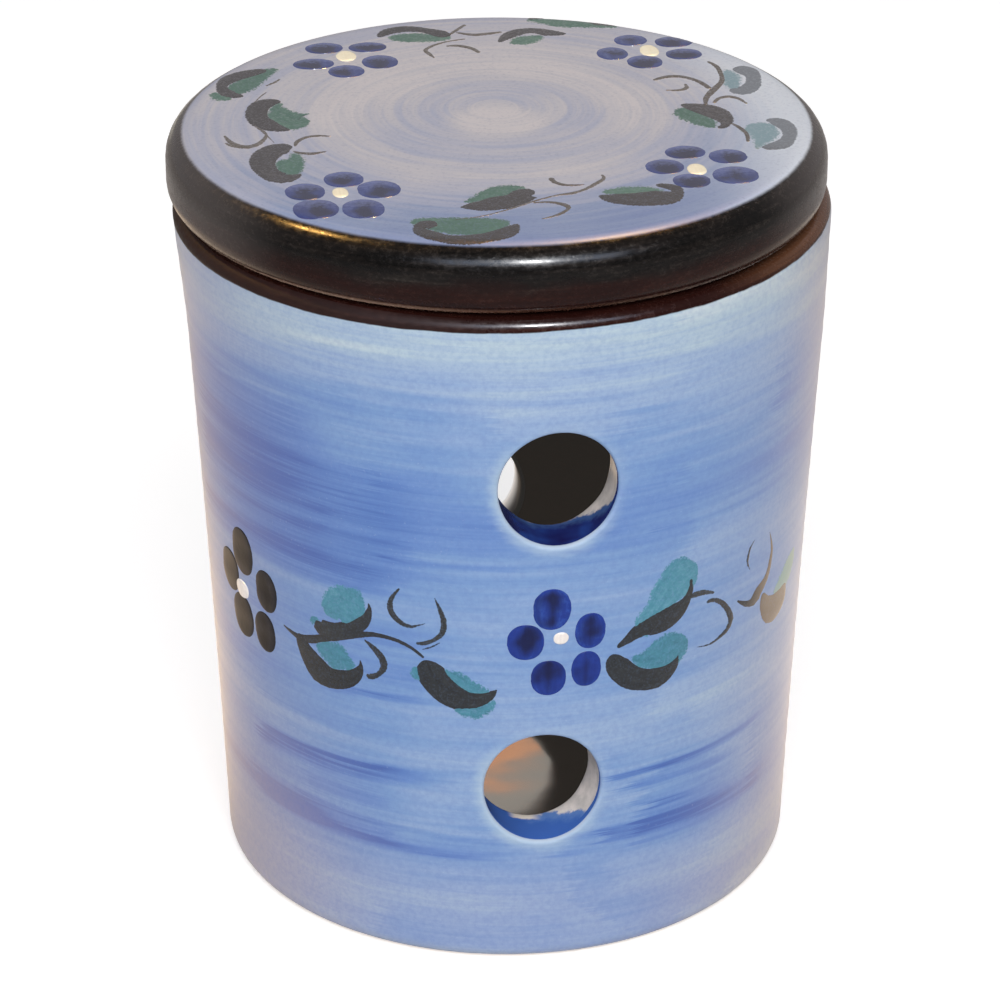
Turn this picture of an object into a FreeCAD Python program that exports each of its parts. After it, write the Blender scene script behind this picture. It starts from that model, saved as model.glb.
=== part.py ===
import FreeCAD, Part
import math
import os

# A garlic keeper in two loose pieces of glazed earthenware: a tapered, wheel-thrown jar with
# vent holes through its wall, and a flat lid that lies on the jar's rim and is kept in place
# by a ring underneath.
# Millimetres, +Z up. The origin is the centre of the foot, on the surface that it stands on.
# A heading is in degrees round the jar, from -Y, the front, towards +X.

# Jar: outside
jar_height = 139.6
foot_radius = 56.7            # where the side would meet the ground
rim_radius = 63.5             # where the side would meet the top of the rim
foot_edge_round = 3.4
rim_outer_round = 2.6

# Jar: inside and underneath
wall_thickness = 9.3
floor_thickness = 9.6
floor_corner_round = 8.0
rim_inner_round = 1.5
foot_ring_width = 9.0
foot_recess_depth = 4.0       # the turned hollow inside the foot ring
foot_inner_round = 1.2
foot_hollow_round = 2.5

# Vent holes
vent_half_width = 11.3
vent_half_height = 11.8
vent_edge_round = 0.6
upper_vent_height = 104.2
front_lower_vent_height = 39.3
back_lower_vent_height = 51.0
front_vent_lean = 1.1         # headings of the front pair: upper one right, lower one left
back_heading = 180.0

# Lid
lid_radius = 63.6
lid_thickness = 13.7          # at the rim, from the seat to the top
lid_hollow_depth = 3.0        # how far the underside is hollowed inside the ring
lid_upper_round = 5.5
lid_lower_round = 6.0
ring_depth = 6.0
ring_width = 5.0
ring_clearance = 2.4          # all round, between the ring and the mouth
ring_edge_round = 1.5
ring_root_round = 1.0
lid_shift_x = -1.7            # where the lid lies within that clearance
lid_shift_y = 0.25

# Places that follow from the sizes above
jar_floor_top = foot_recess_depth + floor_thickness
mouth_radius = rim_radius - wall_thickness
foot_inner_radius = foot_radius - foot_ring_width
ring_radius = mouth_radius - ring_clearance


def vector(radius, height):
    return FreeCAD.Vector(radius, 0, height)


def turned_solid(corners):
    # Turns an outline round the Z axis. A corner is (radius, height, rounding), and the
    # outline starts and ends on the axis.
    edges = []
    start = vector(*corners[0][:2])
    for before, corner, after in zip(corners, corners[1:], corners[2:]):
        point = vector(*corner[:2])
        way_in = (point - vector(*before[:2])).normalize()
        way_out = (vector(*after[:2]) - point).normalize()
        turn = way_in.getAngle(way_out)
        reach = corner[2] * math.tan(turn / 2)
        arc_start = point - way_in * reach
        arc_end = point + way_out * reach
        inward = (way_out - way_in).normalize()
        middle = point + inward * corner[2] * (1 / math.cos(turn / 2) - 1)
        edges.append(Part.LineSegment(start, arc_start).toShape())
        edges.append(Part.Arc(arc_start, middle, arc_end).toShape())
        start = arc_end
    edges.append(Part.LineSegment(start, vector(*corners[-1][:2])).toShape())
    edges.append(Part.LineSegment(vector(*corners[-1][:2]), vector(*corners[0][:2])).toShape())
    face = Part.Face(Part.Wire(edges))
    return face.revolve(FreeCAD.Vector(0, 0, 0), FreeCAD.Vector(0, 0, 1), 360)


def side_radius(height):
    # The outside of the tapered wall.
    return foot_radius + (rim_radius - foot_radius) * height / jar_height


def jar_body():
    return turned_solid([
        (0, foot_recess_depth, 0),
        (foot_inner_radius, foot_recess_depth, foot_hollow_round),
        (foot_inner_radius, 0, foot_inner_round),
        (foot_radius, 0, foot_edge_round),
        (rim_radius, jar_height, rim_outer_round),
        (mouth_radius, jar_height, rim_inner_round),
        (side_radius(jar_floor_top) - wall_thickness, jar_floor_top, floor_corner_round),
        (0, jar_floor_top, 0),
    ])


def vent_punch(heading, height):
    # An upright oval bar that passes through one side of the wall only.
    oval = Part.Ellipse(FreeCAD.Vector(0, 0, 0), vent_half_height, vent_half_width).toShape()
    punch = Part.Face(Part.Wire([oval])).extrude(FreeCAD.Vector(0, 0, rim_radius))
    punch.translate(FreeCAD.Vector(0, 0, wall_thickness))
    punch.rotate(FreeCAD.Vector(0, 0, 0), FreeCAD.Vector(0, 1, 0), 90)
    punch.rotate(FreeCAD.Vector(0, 0, 0), FreeCAD.Vector(0, 0, 1), heading - 90)
    punch.translate(FreeCAD.Vector(0, 0, height))
    return punch


def is_vent_edge(edge):
    # The vent holes' edges are the only closed ones that don't lie level.
    box = edge.BoundBox
    return edge.isClosed() and box.ZLength > vent_half_height


def jar():
    shape = jar_body()
    for heading, height in (
        (front_vent_lean, upper_vent_height),
        (-front_vent_lean, front_lower_vent_height),
        (back_heading, upper_vent_height),
        (back_heading, back_lower_vent_height),
    ):
        shape = shape.cut(vent_punch(heading, height))
    edges = [edge for edge in shape.Edges if is_vent_edge(edge)]
    return shape.makeFillet(vent_edge_round, edges)


def lid():
    # Its flat underside lies on the rim, and the ring hangs inside the mouth.
    seat = jar_height
    ring_bottom = seat - ring_depth
    shape = turned_solid([
        (0, seat + lid_hollow_depth, 0),
        (ring_radius - ring_width, seat + lid_hollow_depth, ring_root_round),
        (ring_radius - ring_width, ring_bottom, ring_edge_round),
        (ring_radius, ring_bottom, ring_edge_round),
        (ring_radius, seat, ring_root_round),
        (lid_radius, seat, lid_lower_round),
        (lid_radius, seat + lid_thickness, lid_upper_round),
        (0, seat + lid_thickness, 0),
    ])
    shape.translate(FreeCAD.Vector(lid_shift_x, lid_shift_y, 0))
    return shape


os.makedirs("parts", exist_ok=True)
for name, make in (("jar", jar), ("lid", lid)):
    solid = make()
    box = solid.BoundBox
    print(name, "solids", len(solid.Solids), "valid", solid.isValid(),
          "volume", round(solid.Volume), "x", round(box.XMin, 2), round(box.XMax, 2),
          "z", round(box.ZMin, 2), round(box.ZMax, 2))
    solid.exportStep("parts/" + name + ".step")
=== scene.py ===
import math
import bmesh
import bpy
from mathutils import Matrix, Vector, noise


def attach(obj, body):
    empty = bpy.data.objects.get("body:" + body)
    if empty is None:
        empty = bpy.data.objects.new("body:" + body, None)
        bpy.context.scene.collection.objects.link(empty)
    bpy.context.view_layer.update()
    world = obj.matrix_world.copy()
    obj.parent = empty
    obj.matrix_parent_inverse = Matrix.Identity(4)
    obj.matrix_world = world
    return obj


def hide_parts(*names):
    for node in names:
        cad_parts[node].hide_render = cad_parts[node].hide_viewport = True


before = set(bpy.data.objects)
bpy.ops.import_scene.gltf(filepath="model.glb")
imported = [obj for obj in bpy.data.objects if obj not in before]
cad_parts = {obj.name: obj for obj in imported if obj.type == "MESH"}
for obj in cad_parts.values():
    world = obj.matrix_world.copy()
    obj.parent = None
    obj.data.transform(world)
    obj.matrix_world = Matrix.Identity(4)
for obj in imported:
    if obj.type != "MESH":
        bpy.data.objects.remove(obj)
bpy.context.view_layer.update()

# A glazed garlic keeper: a thrown jar with vents, and a flat lid that lies on its rim.
# Sizes below are millimetres and degrees. A heading is counted from the front, -Y, towards +X.
mm = 0.001


def clearSelection():
    if bpy.context.mode != "OBJECT":
        bpy.ops.object.mode_set(mode="OBJECT")
    bpy.ops.object.select_all(action="DESELECT")


def makeActive(piece):
    clearSelection()
    piece.select_set(True)
    bpy.context.view_layer.objects.active = piece


def closeMesh(nearness):
    # Leaves edit mode with the mesh welded and its normals outward
    bpy.ops.mesh.select_all(action="SELECT")
    bpy.ops.mesh.remove_doubles(threshold=nearness * mm)
    bpy.ops.mesh.normals_make_consistent(inside=False)
    bpy.ops.object.mode_set(mode="OBJECT")


def easeStep(value, low, high):
    share = min(1.0, max(0.0, (value - low) / (high - low)))
    return share * share * (3 - 2 * share)


# Finishes: small helpers that lay out nodes

def screenColour(red, green, blue):
    # 0 to 255, as on a screen, to what a shader socket takes
    values = [v / 255 for v in (red, green, blue)]
    return tuple(v / 12.92 if v < 0.0405 else ((v + 0.055) / 1.055) ** 2.4 for v in values) + (1.0,)


class Value:
    # A node's output, with signs and short words for the nodes that carry it on
    def __init__(self, recipe, socket):
        self.recipe = recipe
        self.socket = socket

    def calc(self, operation, other=0.0):
        return self.recipe.out("ShaderNodeMath", {0: self, 1: other}, operation=operation)

    def __add__(self, other):
        return self.calc("ADD", other)

    def __radd__(self, other):
        return self.calc("ADD", other)

    def __sub__(self, other):
        return self.calc("SUBTRACT", other)

    def __rsub__(self, other):
        return self.recipe.out("ShaderNodeMath", {0: other, 1: self}, operation="SUBTRACT")

    def __mul__(self, other):
        return self.calc("MULTIPLY", other)

    def __truediv__(self, number):
        return self.calc("MULTIPLY", 1 / number)

    def __lt__(self, other):
        return self.calc("LESS_THAN", other)

    def __gt__(self, other):
        return self.calc("GREATER_THAN", other)

    def __abs__(self):
        return self.calc("ABSOLUTE")

    def sign(self):
        return self.calc("SIGN")

    def root(self):
        return self.calc("SQRT")

    def atLeast(self, other):
        return self.calc("MAXIMUM", other)

    def fade(self, low, high, start=0.0, end=1.0):
        inputs = {0: self, 1: low, 2: high, 3: start, 4: end}
        return self.recipe.out("ShaderNodeMapRange", inputs, interpolation_type="SMOOTHSTEP")

    def fadeOut(self, low, high):
        return self.fade(low, high, 1.0, 0.0)

    def sway(self, reach):
        # Noise turned to a shift of up to this much either way
        return self.fade(0.3, 0.7, -reach, reach)

    def between(self, first, second):
        return self.recipe.out("ShaderNodeMix", {0: self, 2: first, 3: second}, data_type="FLOAT")

    def blend(self, share, other):
        return self.recipe.blendColour(share, self, other)

    def split(self):
        return self.recipe.outs("ShaderNodeSeparateXYZ", {0: self})

    def stretch(self, across, along, up, shift=(0, 0, 0)):
        inputs = {"Vector": self, "Scale": (across, along, up), "Location": shift}
        return self.recipe.out("ShaderNodeMapping", inputs)

    def sized(self, across, along, up, shift=(0, 0, 0)):
        # Makes the grain that reads it this many millimetres coarse
        return self.stretch(1 / across, 1 / along, 1 / up, shift)

    def grain(self, scale=1.0, detail=2.0, rough=0.5):
        inputs = {"Vector": self, "Scale": scale, "Detail": detail, "Roughness": rough}
        return self.recipe.out("ShaderNodeTexNoise", inputs)

    def ramp(self, stops, smooth="LINEAR"):
        made = self.recipe.node("ShaderNodeValToRGB", {0: self})
        band = made.color_ramp
        band.interpolation = smooth
        while len(band.elements) < len(stops):
            band.elements.new(0.5)
        for element, (place, colour) in zip(band.elements, stops):
            element.position = place
        for element, (place, colour) in zip(band.elements, stops):
            grey = (colour, colour, colour, 1)
            element.color = screenColour(*colour) if isinstance(colour, tuple) else grey
        return Value(self.recipe, made.outputs[0])


class Recipe:
    def __init__(self, tree):
        self.tree = tree
        self.tree.nodes.clear()

    def node(self, kind, inputs=None, **settings):
        # A colour of three numbers is 0 to 255, as on a screen
        made = self.tree.nodes.new(kind)
        for key, value in settings.items():
            setattr(made, key, value)
        for key, value in (inputs or {}).items():
            socket = made.inputs[key]
            if isinstance(value, Value):
                self.tree.links.new(value.socket, socket)
            elif socket.type == "RGBA" and len(value) == 3:
                socket.default_value = screenColour(*value)
            else:
                socket.default_value = value
        return made

    def outs(self, kind, inputs=None, **settings):
        return [Value(self, socket) for socket in self.node(kind, inputs, **settings).outputs]

    def out(self, kind, inputs=None, **settings):
        # The output that is in use: a Mix node has one for each kind of data
        made = self.node(kind, inputs, **settings)
        return Value(self, next(socket for socket in made.outputs if socket.enabled))

    def named(self, kind, **settings):
        return {socket.name: Value(self, socket) for socket in self.node(kind, **settings).outputs}

    def blendColour(self, share, first, second):
        return self.out("ShaderNodeMix", {0: share, 6: first, 7: second}, data_type="RGBA")

    def place(self):
        # Object coordinates in millimetres
        source = self.named("ShaderNodeTexCoord")["Object"]
        return source.stretch(1 / mm, 1 / mm, 1 / mm)

    def heading(self, x, y):
        return self.out("ShaderNodeMath", {0: x, 1: y * -1.0}, operation="ARCTAN2") * (180 / math.pi)

    def hypot(self, x, y):
        return (x * x + y * y).root()

    def measure(self, name):
        return self.named("ShaderNodeAttribute", attribute_name=name)["Fac"]

    def relief(self, height, strength=1.0):
        return self.out("ShaderNodeBump", {"Strength": strength, "Distance": mm, "Height": height})

    def surface(self, **inputs):
        shader = self.out("ShaderNodeBsdfPrincipled", {k.replace("_", " "): v for k, v in inputs.items()})
        self.node("ShaderNodeOutputMaterial", {"Surface": shader})


def newMaterial(name):
    material = bpy.data.materials.new(name)
    material.use_nodes = True
    return material, Recipe(material.node_tree)


def newGroup(name, outputs):
    tree = bpy.data.node_groups.new(name, "ShaderNodeTree")
    for label, kind in outputs:
        tree.interface.new_socket(label, in_out="OUTPUT", socket_type=kind)
    return tree, Recipe(tree)


# Camera and light

view = {
    "heading": -8.26,
    "distance": 760.16,
    "height": 446.66,
    "down": 26.21,
    "aside": 0.081,           # turned this little to the left of the keeper's middle
    "lens": 152.33,
}

cameraData = bpy.data.cameras.new("mainCamera")
cameraData.lens = view["lens"]
cameraData.clip_start = 0.05
cameraData.clip_end = 30
camera = bpy.data.objects.new("mainCamera", cameraData)
bpy.context.scene.collection.objects.link(camera)
turn = math.radians(view["heading"])
camera.location = (
    view["distance"] * math.sin(turn) * mm,
    -view["distance"] * math.cos(turn) * mm,
    view["height"] * mm,
)
camera.rotation_euler = (math.radians(90 - view["down"]), 0, turn + math.radians(view["aside"]))
bpy.context.scene.camera = camera
bpy.context.scene.view_settings.view_transform = "Standard"

studio = {
    "white": (255, 255, 255),
    "skyFront": 0.62,          # what the room gives matt surfaces, from the viewer's side
    "skyBack": 0.34,
    "mirrorFront": 0.16,       # what gloss sees towards the viewer
    "mirrorBack": 0.5,
    "mirrorTint": (252, 247, 250),
    "floorColour": (236, 236, 238),
    "floorGlow": 0.45,         # makes the floor white to the lens only
    "sideGlow": 1.0,           # a warm room that gloss sees past both sides of the keeper
    "leftTint": (255, 213, 158),
    "rightTint": (255, 226, 192),
    "mirroredFloor": (200, 200, 203),
    "lampsAim": 90,            # the height that the lamps point at
}

# name: heading, elevation, distance, width, height, watts, colour, what it lights
lamps = {
    "keySoftbox": (-6, 40, 1.3, 0.9, 0.8, 13.0, (255, 251, 246), "matt"),
    "rimWindow": (4, 40, 1.0, 1.0, 0.30, 9.0, (214, 228, 255), "gloss"),
    "rimSpark": (4.9, 40, 1.0, 0.05, 0.035, 17.0, (255, 255, 255), "gloss"),
    "lampLeft": (-110, 57, 1.2, 0.16, 0.09, 5.0, (255, 160, 54), "gloss"),
    "lampLeftCore": (-110, 57, 1.15, 0.06, 0.04, 11.0, (255, 208, 122), "gloss"),
    "lampRight": (144, 63, 1.2, 0.34, 0.09, 6.0, (255, 160, 58), "gloss"),
    "lampRightCore": (144, 63, 1.15, 0.08, 0.04, 12.0, (255, 208, 122), "gloss"),
    "rimGlintRight": (137, 45, 1.2, 0.10, 0.05, 1.6, (230, 240, 255), "gloss"),
}


def hangLamp(name, spot, facing, width, height, watts, colour):
    # An area lamp that only gloss sees; spot in metres
    lampData = bpy.data.lights.new(name, "AREA")
    lampData.shape = "RECTANGLE"
    lampData.size = width
    lampData.size_y = height
    lampData.energy = watts
    lampData.color = screenColour(*colour)[:3]
    lamp = bpy.data.objects.new(name, lampData)
    bpy.context.scene.collection.objects.link(lamp)
    lamp.location = spot
    lamp.rotation_euler = facing.to_track_quat("Z", "Y").to_euler()
    lamp.visible_camera = False
    lamp.visible_diffuse = False
    return lamp


for lampName, (heading, rise, reach, width, height, watts, colour, part) in lamps.items():
    aim = math.radians(heading)
    lift = math.radians(rise)
    away = Vector((math.sin(aim) * math.cos(lift), -math.cos(aim) * math.cos(lift), math.sin(lift)))
    spot = Vector((0, 0, studio["lampsAim"] * mm)) + away * reach
    lamp = hangLamp(lampName, spot, away, width, height, watts, colour)
    if part == "matt":
        lamp.visible_glossy = False
        lamp.visible_diffuse = True

# Cards close behind the keeper, for the shine of the jar's floor only
# name: x, y, height, width, tall, watts, colour
cards = {
    "backCard": (-20, 160, 123.6, 0.16, 0.0126, 0.0057, (250, 245, 226)),
    "backWarmCard": (5, 160, 114.8, 0.09, 0.0042, 0.0038, (255, 166, 92)),
}

for cardName, (x, y, height, width, tall, watts, colour) in cards.items():
    hangLamp(cardName, Vector((x, y, height)) * mm, Vector((0, 1, 0)), width, tall, watts, colour)

world = bpy.data.worlds.new("room")
bpy.context.scene.world = world
world.use_nodes = True
room = Recipe(world.node_tree)
rays = room.named("ShaderNodeLightPath")
outward = room.named("ShaderNodeTexCoord")["Generated"].split()
towardsBack = outward[1].fade(-0.9, 0.9)
mirroredBack = (outward[1] + outward[2] * 0.4).fade(-0.7, 0.6)
matt = towardsBack.between(studio["skyFront"], studio["skyBack"])
mirrored = mirroredBack.between(studio["mirrorFront"], studio["mirrorBack"])
mirrored *= outward[2].fade(0.5, 0.8, 1.0, 0.45)
strength = rays["Is Glossy Ray"].between(matt, mirrored)
strength = rays["Is Camera Ray"].between(strength, 1.0)
tint = room.blendColour(rays["Is Glossy Ray"] * mirroredBack, studio["white"], studio["mirrorTint"])
back = room.out("ShaderNodeBackground", {"Color": tint, "Strength": strength})
room.node("ShaderNodeOutputWorld", {"Surface": back})

clearSelection()
bpy.ops.mesh.primitive_plane_add(size=8, location=(0, 0, 0))
floor = bpy.context.active_object
floor.name = "studioFloor"
floorMaterial, recipe = newMaterial("paleFloor")
rays = recipe.named("ShaderNodeLightPath")
x, y = recipe.place().split()[:2]
heading = recipe.heading(x, y) + -view["heading"]
onLeft = heading < 0.0
aside = abs(heading)
sides = onLeft.between(aside.fade(60, 140, 0.35, 1.35), aside.fade(65, 138, 0.28, 1.65))
sides *= aside.fade(40, 70) * aside.fade(158, 178, 1.0, 0.15)
away = recipe.hypot(x, y)
sides *= away.fade(105, 240, 1.0, 0.48)
sides *= away.fade(300, 330, 1.0, 0.15)
sideGlow = rays["Is Glossy Ray"] * sides * studio["sideGlow"]
sideTint = recipe.blendColour(onLeft, studio["rightTint"], studio["leftTint"])
recipe.surface(
    Base_Color=recipe.blendColour(rays["Is Glossy Ray"], studio["floorColour"], studio["mirroredFloor"]),
    Roughness=0.8,
    Specular_IOR_Level=0.1,
    Emission_Color=recipe.blendColour(rays["Is Glossy Ray"], studio["white"], sideTint),
    Emission_Strength=rays["Is Camera Ray"] * studio["floorGlow"] + sideGlow,
)
floor.data.materials.append(floorMaterial)
print("camera, lamps and floor are in place")


# Turning: an outline, given corner by corner, spun round the axis

def turnOutline(name, corners, columns, rowStep):
    # A corner is (radius, height, rounding). The outline starts and ends on the axis.
    clearSelection()
    bpy.ops.mesh.primitive_plane_add(size=mm, location=(corners[0][0] * mm, 0, corners[0][1] * mm))
    piece = bpy.context.active_object
    piece.name = name
    bpy.ops.object.transform_apply(location=True, rotation=True, scale=True)
    bpy.ops.object.mode_set(mode="EDIT")
    bpy.ops.mesh.select_mode(type="VERT")
    bpy.ops.mesh.select_all(action="SELECT")
    bpy.ops.mesh.merge(type="CENTER")
    for before, after in zip(corners, corners[1:]):
        step = ((after[0] - before[0]) * mm, 0, (after[1] - before[1]) * mm)
        bpy.ops.mesh.extrude_region_move(TRANSFORM_OT_translate={"value": step})
    shape = bmesh.from_edit_mesh(piece.data)
    for before, corner, after in zip(corners, corners[1:], corners[2:]):
        wayIn = Vector((corner[0] - before[0], corner[1] - before[1])).normalized()
        wayOut = Vector((after[0] - corner[0], after[1] - corner[1])).normalized()
        reach = corner[2] * math.tan(wayIn.angle(wayOut) / 2)
        spot = Vector((corner[0], 0, corner[1])) * mm
        for vert in shape.verts:
            vert.select = (vert.co - spot).length < 0.01 * mm
        shape.select_flush_mode()
        bpy.ops.mesh.bevel(offset=reach * mm, segments=7, affect="VERTICES")
        shape = bmesh.from_edit_mesh(piece.data)
    bpy.ops.mesh.select_mode(type="EDGE")
    for attempt in range(len(corners) + 2):
        shape = bmesh.from_edit_mesh(piece.data)
        longest = max(shape.edges, key=lambda edge: edge.calc_length())
        cuts = math.ceil(longest.calc_length() / (rowStep * mm)) - 1
        if cuts < 1:
            break
        bpy.ops.mesh.select_all(action="DESELECT")
        longest.select = True
        shape.select_flush_mode()
        bpy.ops.mesh.subdivide(number_cuts=cuts)
    bpy.ops.mesh.select_mode(type="VERT")
    bpy.ops.mesh.select_all(action="SELECT")
    bpy.ops.mesh.spin(steps=columns, angle=2 * math.pi, center=(0, 0, 0), axis=(0, 0, 1))
    closeMesh(0.01)
    return piece


jar = {
    "height": 139.6,
    "footRadius": 56.88,
    "rimRadius": 63.64,
    "wall": 9.3,
    "mouthRadius": 54.3,
    "floorTop": 13.6,
    "floorRadius": 48.2,       # where the inside would meet the floor
    "recess": 4.0,             # the hollow inside the foot ring
    "recessRadius": 47.7,
    "columns": 256,
    "rowStep": 1.5,
    "bandBottom": 136.8,       # where the brown band begins
    "waist": 0.41,             # how far the side draws in at half that height
    "lipFlare": 0.7,           # the lip leans out on its left and in on its right
    "lipGrowth": 0.1,          # and is this much wider all round
    "lipHeights": (112, 140),  # where both begin and are full
    "thrownFrom": 40,          # the hand's unevenness leaves what is nearer the axis
    # depth, pitch, and the heights over which it begins
    "ripple": (0.03, 5.6, 3, 14),
    "insideRipple": (0.14, 7.5, 18, 30),
}

jarCorners = [
    (0, jar["recess"], 0),
    (jar["recessRadius"], jar["recess"], 2.5),
    (jar["recessRadius"], 0, 1.2),
    (jar["footRadius"], 0, 3.4),
    (jar["rimRadius"], jar["height"], 2.6),
    (jar["mouthRadius"], jar["height"], 1.5),
    (jar["floorRadius"], jar["floorTop"], 8.0),
    (0, jar["floorTop"], 0),
]


def straightSide(height):
    return jar["footRadius"] + (jar["rimRadius"] - jar["footRadius"]) * height / jar["height"]


def straightInside(height):
    share = (height - jar["floorTop"]) / (jar["height"] - jar["floorTop"])
    return jar["floorRadius"] + (jar["mouthRadius"] - jar["floorRadius"]) * share


def thrownOffset(x, y, z, inside):
    # What the potter's hand adds to the plain cone, outwards, in millimetres
    share = z / jar["bandBottom"]
    angle = math.atan2(x, -y) - math.radians(view["heading"])
    offset = -jar["waist"] * 4 * share * (1 - share)
    offset += easeStep(z, *jar["lipHeights"]) * (jar["lipGrowth"] - jar["lipFlare"] * math.sin(angle))
    depth, pitch, begins, full = jar["insideRipple"] if inside else jar["ripple"]
    ripple = math.sin(2 * math.pi * (z / pitch + angle / (2 * math.pi)))
    return offset + depth * ripple * easeStep(z, begins, full)


def sideRadius(heading, z):
    # The finished outside, where paint lies
    angle = math.radians(heading)
    plain = straightSide(z)
    return plain + thrownOffset(plain * math.sin(angle), -plain * math.cos(angle), z, False)


jarPiece = turnOutline("jarBody", jarCorners, jar["columns"], jar["rowStep"])
print("jar turned:", len(jarPiece.data.polygons), "faces")

ventHeights = {"upper": 104.2, "frontLower": 39.3, "backLower": 51.0}

vents = {
    "halfWidth": 11.3,
    "halfHeight": 11.8,
    "patchHeight": 14.6,       # half the patch that is opened for each hole
    "patchTurn": (14.0, 16.9),  # degrees to each side: outside and inside
    "margin": 3.0,             # how much more is lifted out of the wall to work on
    "borderMargin": 1.2,       # how far past the patch its border may lie
    "outerRound": 1.0,
    "innerRound": 0.9,
    "skirts": (1.8, 0.9),      # even rings round the hole on the wall: outside and inside
    "far": 30.0,               # the gap that is given where no hole is near
    # heading, height, then how far the inner edge is moved aside and up
    "places": [
        (1.1, ventHeights["upper"], 0, 0.4),
        (-1.1, ventHeights["frontLower"], -1.2, 0.8),
        (180.0, ventHeights["upper"], 0, 0),
        (181.0, ventHeights["backLower"], 0, 0),
    ],
    "split": 75.0,             # between the upper and the lower holes
}


def ventAxes(heading):
    angle = math.radians(heading)
    return Vector((math.sin(angle), -math.cos(angle), 0)), Vector((math.cos(angle), math.sin(angle), 0))


def ventGap(spot):
    # How far a point lies from the nearest hole's edge, seen square on
    best = vents["far"]
    for heading, height, aside, rise in vents["places"]:
        outward, sideways = ventAxes(heading)
        if spot.dot(outward) > 0:
            across = spot.dot(sideways) / vents["halfWidth"]
            up = (spot.z - height) / vents["halfHeight"]
            best = min(best, (math.hypot(across, up) - 1) * vents["halfWidth"])
    return best


def isOutside(spot):
    return math.hypot(spot.x, spot.y) > straightSide(spot.z) - jar["wall"] / 2


def inPatch(spot, heading, height, outside, more=0.0):
    if isOutside(spot) != outside:
        return False
    turned = abs((math.degrees(math.atan2(spot.x, -spot.y)) - heading + 180) % 360 - 180)
    tall = abs(spot.z - height)
    return turned < vents["patchTurn"][0 if outside else 1] + more and tall < vents["patchHeight"] + more


def edgeMiddle(edge):
    return (edge.verts[0].co + edge.verts[1].co) / 2 / mm


def selectBorder(piece, heading, height, outside, add=False):
    shape = bmesh.from_edit_mesh(piece.data)
    for edge in shape.edges:
        near = inPatch(edgeMiddle(edge), heading, height, outside, vents["borderMargin"])
        fits = edge.is_boundary and near
        edge.select = fits or (add and edge.select)
    shape.select_flush_mode()
    bmesh.update_edit_mesh(piece.data)


def ventSteps():
    # (gap from the hole's edge, part of the way, depth or share of it) for each loop
    outer, inner = vents["outerRound"], vents["innerRound"]
    steps = [(vents["skirts"][0], "out", 0), (outer, "out", 0)]
    for count in range(1, 6):
        bend = math.radians(90 * count / 5)
        steps.append((outer * (1 - math.sin(bend)), "out", outer * (1 - math.cos(bend))))
    steps += [(0, "through", share) for share in (0.15, 0.3, 0.45, 0.6, 0.75, 0.9, 1.0)]
    for count in range(1, 5):
        bend = math.radians(90 * count / 4)
        steps.append((inner * (1 - math.cos(bend)), "in", inner * (1 - math.sin(bend))))
    steps.append((inner + vents["skirts"][1], "in", 0))
    return steps


def cutVent(piece, heading, height, aside, rise):
    # Opens the wall's two faces, then carries the outer border through to the inner one
    outward, sideways = ventAxes(heading)
    bpy.ops.mesh.select_mode(type="FACE")
    shape = bmesh.from_edit_mesh(piece.data)
    for face in shape.faces:
        spot = face.calc_center_median() / mm
        face.select = inPatch(spot, heading, height, True) or inPatch(spot, heading, height, False)
    shape.select_flush(True)
    bpy.ops.mesh.delete(type="FACE")
    bpy.ops.mesh.select_mode(type="EDGE")
    selectBorder(piece, heading, height, True)
    for gap, part, depth in ventSteps():
        bpy.ops.mesh.extrude_region_move()
        shape = bmesh.from_edit_mesh(piece.data)
        for vert in [v for v in shape.verts if v.select]:
            spot = vert.co / mm
            upward = (spot.z - height) / vents["halfHeight"]
            angle = math.atan2(upward, spot.dot(sideways) / vents["halfWidth"])
            moved = {"out": 0.0, "through": depth, "in": 1.0}[part]
            across = (vents["halfWidth"] + gap) * math.cos(angle) + aside * moved
            up = height + (vents["halfHeight"] + gap) * math.sin(angle) + rise * moved
            near = math.sqrt(straightSide(up) ** 2 - across ** 2)
            far = math.sqrt(straightInside(up) ** 2 - across ** 2)
            if part == "out":
                reach = near - depth
            elif part == "in":
                reach = far + depth
            else:
                start = near - vents["outerRound"]
                reach = start + (far + vents["innerRound"] - start) * depth
            vert.co = (outward * reach + sideways * across + Vector((0, 0, up))) * mm
        bmesh.update_edit_mesh(piece.data)
    selectBorder(piece, heading, height, False, add=True)
    bpy.ops.mesh.bridge_edge_loops()


makeActive(jarPiece)
bpy.ops.object.mode_set(mode="EDIT")
bpy.ops.mesh.select_mode(type="FACE")
bpy.ops.mesh.select_all(action="DESELECT")
shape = bmesh.from_edit_mesh(jarPiece.data)
for face in shape.faces:
    spot = face.calc_center_median() / mm
    for heading, height, aside, rise in vents["places"]:
        if inPatch(spot, heading, height, isOutside(spot), vents["margin"]):
            face.select = True
bmesh.update_edit_mesh(jarPiece.data)
bpy.ops.mesh.separate(type="SELECTED")
bpy.ops.object.mode_set(mode="OBJECT")
wallPart = [piece for piece in bpy.context.selected_objects if piece is not jarPiece][0]
makeActive(wallPart)
bpy.ops.object.mode_set(mode="EDIT")
for heading, height, aside, rise in vents["places"]:
    cutVent(wallPart, heading, height, aside, rise)
bpy.ops.object.mode_set(mode="OBJECT")
makeActive(jarPiece)
wallPart.select_set(True)
bpy.ops.object.join()
bpy.ops.object.mode_set(mode="EDIT")
closeMesh(0.005)

gaps = jarPiece.data.attributes.new("ventGap", "FLOAT", "POINT")
depths = jarPiece.data.attributes.new("wallDepth", "FLOAT", "POINT")
for vert in jarPiece.data.vertices:
    spot = vert.co / mm
    gaps.data[vert.index].value = ventGap(spot)
    depths.data[vert.index].value = straightSide(spot.z) - math.hypot(spot.x, spot.y)

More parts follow.
